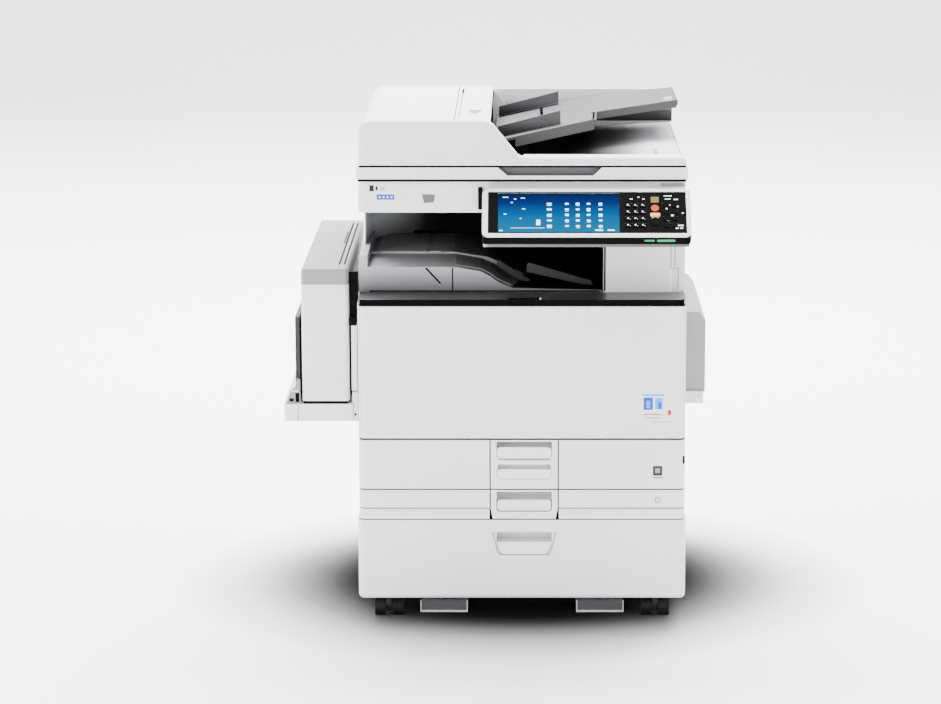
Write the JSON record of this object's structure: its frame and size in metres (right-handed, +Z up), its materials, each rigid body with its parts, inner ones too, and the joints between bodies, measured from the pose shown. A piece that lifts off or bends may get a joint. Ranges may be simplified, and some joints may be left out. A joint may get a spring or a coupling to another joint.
{
  "type": "photocopier",
  "caption": "Floor-standing multifunction photocopier with a document feeder, tilting control panel, three paper trays and a side feed unit.",
  "frame": {"origin": "middle of the footprint on the floor", "axes": "+Z up, +X to the viewer's right when facing the control panel, +Y from the control panel to the rear"},
  "size_m": [0.77, 0.7114, 0.9346],
  "materials": {
    "off_white_plastic": "fine textured moulding",
    "light_grey_plastic": "fine textured moulding",
    "dark_grey_plastic": "fine textured moulding",
    "gloss_black": "polished",
    "sheet_steel": "zinc plated",
    "painted_steel": "powder coat",
    "clear_glass": "polished float glass",
    "black_rubber": "matt",
    "white_foam": "soft foam with a white film",
    "circuit_green": "solder mask",
    "black_toner": "moulded bottle",
    "cyan_toner": "moulded bottle",
    "magenta_toner": "moulded bottle",
    "yellow_toner": "moulded bottle",
    "start_blue": "satin key",
    "stop_red": "satin key"
  },
  "bodies": {
    "chassis": {"base_frame": "sheet_steel", "stabiliser_feet": "sheet_steel", "inner_frame": "sheet_steel", "left_cover": "off_white_plastic", "right_cover": "off_white_plastic", "rear_cover": "off_white_plastic", "power_inlet": "gloss_black", "inner_panel": "dark_grey_plastic", "base_trim": "off_white_plastic", "front_ledge": "gloss_black", "laser_unit": "painted_steel", "transfer_unit": "painted_steel", "imaging_units": "dark_grey_plastic", "fuser_unit": "painted_steel", "control_board": "circuit_green", "output_tray": "light_grey_plastic", "exit_unit_cover": "off_white_plastic", "scanner_housing": "light_grey_plastic", "platen_glass": "clear_glass", "side_unit_housing": "off_white_plastic", "side_unit_lid": "off_white_plastic", "side_unit_base": "off_white_plastic"},
    "caster_front_left_swivel": {"caster_hub_front_left": "dark_grey_plastic"},
    "caster_front_left_roll": {"caster_wheels_front_left": "black_rubber"},
    "caster_front_right_swivel": {"caster_hub_front_right": "dark_grey_plastic"},
    "caster_front_right_roll": {"caster_wheels_front_right": "black_rubber"},
    "caster_rear_left_swivel": {"caster_hub_rear_left": "dark_grey_plastic"},
    "caster_rear_left_roll": {"caster_wheels_rear_left": "black_rubber"},
    "caster_rear_right_swivel": {"caster_hub_rear_right": "dark_grey_plastic"},
    "caster_rear_right_roll": {"caster_wheels_rear_right": "black_rubber"},
    "tray_1": {"tray_1_box": "light_grey_plastic", "tray_1_front": "off_white_plastic"},
    "tray_1_lift": {"tray_1_lift_plate": "sheet_steel"},
    "tray_2": {"tray_2_box": "light_grey_plastic", "tray_2_front": "off_white_plastic"},
    "tray_2_lift": {"tray_2_lift_plate": "sheet_steel"},
    "tray_3": {"tray_3_box": "light_grey_plastic", "tray_3_front": "off_white_plastic"},
    "tray_3_lift": {"tray_3_lift_plate": "sheet_steel"},
    "front_cover": {"front_cover": "off_white_plastic"},
    "right_door": {"right_door": "off_white_plastic"},
    "bypass_tray": {"bypass_tray": "dark_grey_plastic"},
    "scanner_carriage": {"scanner_carriage": "dark_grey_plastic"},
    "feeder_lid": {"feeder_lid": "off_white_plastic"},
    "feed_roller": {"feed_roller": "dark_grey_plastic"},
    "original_tray": {"original_tray": "off_white_plastic"},
    "guide_front": {"guide_front": "light_grey_plastic"},
    "guide_rear": {"guide_rear": "light_grey_plastic"},
    "start_key": {"start_key": "start_blue"},
    "stop_key": {"stop_key": "stop_red"},
    "number_keys": {"number_keys": "light_grey_plastic"},
    "toner_bottle_black": {"toner_bottle_black": "black_toner"},
    "toner_bottle_cyan": {"toner_bottle_cyan": "cyan_toner"},
    "toner_bottle_magenta": {"toner_bottle_magenta": "magenta_toner"},
    "toner_bottle_yellow": {"toner_bottle_yellow": "yellow_toner"},
    "feeder": {"feeder_body": "off_white_plastic", "platen_pad": "white_foam"},
    "control_panel": {"panel_housing": "dark_grey_plastic", "panel_bezel": "off_white_plastic", "touch_screen": "gloss_black"}
  },
  "joints": [
    {"name": "caster_front_left_turns", "type": "hinge", "parent": "chassis", "child": "caster_front_left_swivel", "pos_m": [-0.197, -0.1843, 0.047], "axis": [0, 0, 1], "continuous": true},
    {"name": "caster_front_left_rolls", "type": "hinge", "parent": "caster_front_left_swivel", "child": "caster_front_left_roll", "pos_m": [-0.197, -0.1723, 0.019], "axis": [1, 0, 0], "continuous": true},
    {"name": "caster_front_right_turns", "type": "hinge", "parent": "chassis", "child": "caster_front_right_swivel", "pos_m": [0.295, -0.1843, 0.047], "axis": [0, 0, 1], "continuous": true},
    {"name": "caster_front_right_rolls", "type": "hinge", "parent": "caster_front_right_swivel", "child": "caster_front_right_roll", "pos_m": [0.295, -0.1723, 0.019], "axis": [1, 0, 0], "continuous": true},
    {"name": "caster_rear_left_turns", "type": "hinge", "parent": "chassis", "child": "caster_rear_left_swivel", "pos_m": [-0.197, 0.2757, 0.047], "axis": [0, 0, 1], "continuous": true},
    {"name": "caster_rear_left_rolls", "type": "hinge", "parent": "caster_rear_left_swivel", "child": "caster_rear_left_roll", "pos_m": [-0.197, 0.2877, 0.019], "axis": [1, 0, 0], "continuous": true},
    {"name": "caster_rear_right_turns", "type": "hinge", "parent": "chassis", "child": "caster_rear_right_swivel", "pos_m": [0.295, 0.2757, 0.047], "axis": [0, 0, 1], "continuous": true},
    {"name": "caster_rear_right_rolls", "type": "hinge", "parent": "caster_rear_right_swivel", "child": "caster_rear_right_roll", "pos_m": [0.295, 0.2877, 0.019], "axis": [1, 0, 0], "continuous": true},
    {"name": "tray_1_pulls_out", "type": "slide", "parent": "chassis", "child": "tray_1", "axis": [0, -1, 0], "range_m": [0, 0.4]},
    {"name": "tray_1_plate_lifts", "type": "hinge", "parent": "tray_1", "child": "tray_1_lift", "pos_m": [-0.101, 0.0457, 0.271], "axis": [0, -1, 0], "range_deg": [0, 8]},
    {"name": "tray_2_pulls_out", "type": "slide", "parent": "chassis", "child": "tray_2", "axis": [0, -1, 0], "range_m": [0, 0.4]},
    {"name": "tray_2_plate_lifts", "type": "hinge", "parent": "tray_2", "child": "tray_2_lift", "pos_m": [-0.101, 0.0457, 0.234], "axis": [0, -1, 0], "range_deg": [0, 1.5]},
    {"name": "tray_3_pulls_out", "type": "slide", "parent": "chassis", "child": "tray_3", "axis": [0, -1, 0], "range_m": [0, 0.4]},
    {"name": "tray_3_plate_lifts", "type": "hinge", "parent": "tray_3", "child": "tray_3_lift", "pos_m": [-0.101, 0.0457, 0.0775], "axis": [0, -1, 0], "range_deg": [0, 12]},
    {"name": "front_cover_opens", "type": "hinge", "parent": "chassis", "child": "front_cover", "pos_m": [0.049, -0.2463, 0.363], "axis": [1, 0, 0], "range_deg": [0, 85]},
    {"name": "right_door_opens", "type": "hinge", "parent": "chassis", "child": "right_door", "pos_m": [0.373, 0.0457, 0.412], "axis": [0, 1, 0], "range_deg": [0, 60]},
    {"name": "bypass_tray_folds_out", "type": "hinge", "parent": "chassis", "child": "bypass_tray", "pos_m": [-0.368, 0.0807, 0.413], "axis": [0, -1, 0], "range_deg": [0, 80]},
    {"name": "carriage_travels", "type": "slide", "parent": "chassis", "child": "scanner_carriage", "axis": [1, 0, 0], "range_m": [0, 0.4]},
    {"name": "feeder_opens", "type": "hinge", "parent": "chassis", "child": "feeder", "pos_m": [0.049, 0.3077, 0.836], "axis": [-1, 0, 0], "range_deg": [0, 65]},
    {"name": "feeder_lid_opens", "type": "hinge", "parent": "feeder", "child": "feeder_lid", "pos_m": [-0.23, 0.0057, 0.882], "axis": [0, -1, 0], "range_deg": [0, 60]},
    {"name": "feed_roller_turns", "type": "hinge", "parent": "feeder", "child": "feed_roller", "pos_m": [-0.111, 0.0057, 0.883], "axis": [0, 1, 0], "continuous": true},
    {"name": "original_tray_lifts", "type": "hinge", "parent": "feeder", "child": "original_tray", "pos_m": [0.053, 0.0407, 0.886], "axis": [0, -1, 0], "range_deg": [0, 20]},
    {"name": "front_guide_slides", "type": "slide", "parent": "original_tray", "child": "guide_front", "axis": [0, 1, 0], "range_m": [0, 0.06]},
    {"name": "rear_guide_slides", "type": "slide", "parent": "original_tray", "child": "guide_rear", "axis": [0, 1, 0], "range_m": [-0.06, 0]},
    {"name": "panel_tilts", "type": "hinge", "parent": "chassis", "child": "control_panel", "pos_m": [0.149, -0.2663, 0.776], "axis": [-1, 0, 0], "range_deg": [0, 20]},
    {"name": "start_key_presses", "type": "slide", "parent": "control_panel", "child": "start_key", "axis": [0, 0.6691, -0.7431], "range_m": [0, 0.001], "stiffness_N_per_m": 400, "springref_m": -0.0005},
    {"name": "stop_key_presses", "type": "slide", "parent": "control_panel", "child": "stop_key", "axis": [0, 0.6691, -0.7431], "range_m": [0, 0.001], "stiffness_N_per_m": 400, "springref_m": -0.0005},
    {"name": "number_keys_presses", "type": "slide", "parent": "control_panel", "child": "number_keys", "axis": [0, 0.6691, -0.7431], "range_m": [0, 0.001], "stiffness_N_per_m": 1200, "springref_m": -0.0005},
    {"name": "toner_black_turns", "type": "hinge", "parent": "chassis", "child": "toner_bottle_black", "pos_m": [-0.161, -0.0543, 0.541], "axis": [0, 1, 0], "continuous": true},
    {"name": "toner_cyan_turns", "type": "hinge", "parent": "chassis", "child": "toner_bottle_cyan", "pos_m": [-0.087, -0.0543, 0.541], "axis": [0, 1, 0], "continuous": true},
    {"name": "toner_magenta_turns", "type": "hinge", "parent": "chassis", "child": "toner_bottle_magenta", "pos_m": [-0.013, -0.0543, 0.541], "axis": [0, 1, 0], "continuous": true},
    {"name": "toner_yellow_turns", "type": "hinge", "parent": "chassis", "child": "toner_bottle_yellow", "pos_m": [0.061, -0.0543, 0.541], "axis": [0, 1, 0], "continuous": true}
  ],
  "couplings": [
    {"joint": "rear_guide_slides", "follows": "front_guide_slides", "ratio": -1}
  ]
}
